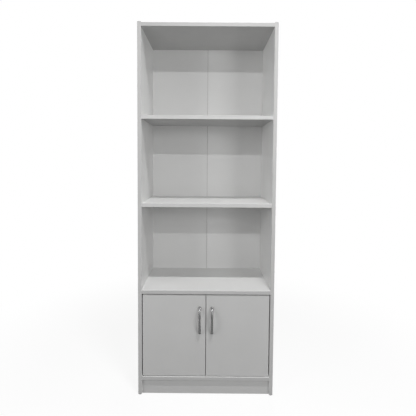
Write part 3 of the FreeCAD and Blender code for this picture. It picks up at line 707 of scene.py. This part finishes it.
def seen_ray(tree):
    """One for rays that see the stage itself or its mirror image."""
    rays = tree.nodes.new("ShaderNodeLightPath")
    seen = rays.outputs["Is Camera Ray"]
    for name in ("Is Glossy Ray", "Is Transmission Ray"):
        either = tree.nodes.new("ShaderNodeMath")
        either.operation = "MAXIMUM"
        tree.links.new(seen, either.inputs[0])
        tree.links.new(rays.outputs[name], either.inputs[1])
        seen = either.outputs["Value"]
    return seen


floor_mesh = bpy.data.meshes.new("floor")
corners = [(-floor_half, -floor_half, 0), (floor_half, -floor_half, 0)]
corners += [(floor_half, floor_half, 0), (-floor_half, floor_half, 0)]
floor_mesh.from_pydata(corners, [], [(0, 1, 2, 3)])
floor_finish = bpy.data.materials.new("pale_floor")
floor_finish.use_nodes = True
floor_tree = floor_finish.node_tree
floor_tree.nodes.clear()
bounce = add_node(floor_finish, "ShaderNodeBsdfDiffuse")
bounce.inputs["Color"].default_value = floor_bounce
lit = add_node(floor_finish, "ShaderNodeBsdfDiffuse")
lit.inputs["Color"].default_value = floor_white
glow = add_node(floor_finish, "ShaderNodeEmission")
glow.inputs["Strength"].default_value = 1.0
floor_point = add_node(floor_finish, "ShaderNodeTexCoord")
from_middle = add_node(floor_finish, "ShaderNodeVectorMath", operation="LENGTH")
fade = add_node(floor_finish, "ShaderNodeMapRange", interpolation_type="SMOOTHSTEP")
fade.inputs["From Min"].default_value = shadow_near
fade.inputs["From Max"].default_value = shadow_far
fade.inputs["To Min"].default_value = 1.0 - shadow_share
fade.inputs["To Max"].default_value = 1.0
shown = add_node(floor_finish, "ShaderNodeMixShader")
split = add_node(floor_finish, "ShaderNodeMixShader")
surface = add_node(floor_finish, "ShaderNodeOutputMaterial")
wire(floor_finish, floor_point.outputs["Object"], from_middle.inputs[0])
wire(floor_finish, from_middle.outputs["Value"], fade.inputs["Value"])
wire(floor_finish, fade.outputs["Result"], shown.inputs["Fac"])
wire(floor_finish, lit.outputs["BSDF"], shown.inputs[1])
wire(floor_finish, glow.outputs["Emission"], shown.inputs[2])
wire(floor_finish, seen_ray(floor_tree), split.inputs["Fac"])
wire(floor_finish, bounce.outputs["BSDF"], split.inputs[1])
wire(floor_finish, shown.outputs["Shader"], split.inputs[2])
wire(floor_finish, split.outputs["Shader"], surface.inputs["Surface"])
floor = to_piece(floor_mesh, "floor", floor_finish)

# Light: a long thin lamp far in front and a short one close above the front draw the shadows of the
# boards on the back, the sides and the cabinet's top. Soft wide lamps stand at both sides of the
# front and behind, in a dim room.
room_light = 0.11
plain_white = (1, 1, 1, 1)
case_middle = (0.0, 0.0, 0.80)

world = bpy.data.worlds.new("studio")
bpy.context.scene.world = world
world.use_nodes = True
world_tree = world.node_tree
world_tree.nodes.clear()
room = world_tree.nodes.new("ShaderNodeBackground")
room.inputs["Color"].default_value = plain_white
room.inputs["Strength"].default_value = room_light
backdrop = world_tree.nodes.new("ShaderNodeBackground")
backdrop.inputs["Color"].default_value = plain_white
backdrop.inputs["Strength"].default_value = 1.0
either_sky = world_tree.nodes.new("ShaderNodeMixShader")
sky = world_tree.nodes.new("ShaderNodeOutputWorld")
world_tree.links.new(seen_ray(world_tree), either_sky.inputs["Fac"])
world_tree.links.new(room.outputs["Background"], either_sky.inputs[1])
world_tree.links.new(backdrop.outputs["Background"], either_sky.inputs[2])
world_tree.links.new(either_sky.outputs["Shader"], sky.inputs["Surface"])


def add_lamp(name, place, aim, power, width, height):
    """Rectangular lamp turned towards a point."""
    light = bpy.data.lights.new(name, "AREA")
    light.shape = "RECTANGLE"
    light.size = width
    light.size_y = height
    light.energy = power
    lamp = bpy.data.objects.new(name, light)
    lamp.location = place
    lamp.rotation_mode = "QUATERNION"
    way = Vector(aim) - Vector(place)
    lamp.rotation_quaternion = way.to_track_quat("-Z", "Y")
    lamp.visible_camera = False
    bpy.context.scene.collection.objects.link(lamp)


add_lamp("far_lamp", (0.10, -3.24, 2.79), (0.10, -1.35, 0.0), power=25.2, width=0.8, height=0.06)
add_lamp("near_lamp", (0.32, -0.93, 2.675), (0.32, -2.90, 0.0), power=48.0, width=0.4, height=0.05)
add_lamp("left_lamp", (-2.05, -1.65, 1.35), case_middle, power=19.3, width=1.0, height=1.0)
add_lamp("right_lamp", (1.55, -2.25, 1.32), case_middle, power=19.3, width=0.9, height=0.8)
add_lamp("rear_lamp", (0.60, 3.00, 2.00), case_middle, power=36.0, width=1.6, height=1.2)

# Camera: a hand-held view from chest height, turned down a little, with the lens of a phone and a
# small lens shift.
camera_place = (0.0073, -1.5165, 1.0528)
camera_tilt = math.radians(-2.746)
camera_turn = math.radians(0.099)
camera_roll = math.radians(-0.413)
camera_data = bpy.data.cameras.new("camera")
camera_data.lens = 27.61
camera_data.sensor_width = 36.0
camera_data.shift_y = -0.0793
camera = bpy.data.objects.new("camera", camera_data)
level_view = Matrix.Rotation(math.radians(90), 4, "X")
facing = Matrix.Rotation(camera_turn, 4, "Z") @ Matrix.Rotation(camera_tilt, 4, "X")
facing = facing @ Matrix.Rotation(camera_roll, 4, "Y") @ level_view
camera.matrix_world = Matrix.Translation(camera_place) @ facing
bpy.context.scene.collection.objects.link(camera)
bpy.context.scene.camera = camera
bpy.context.scene.view_settings.view_transform = "Standard"
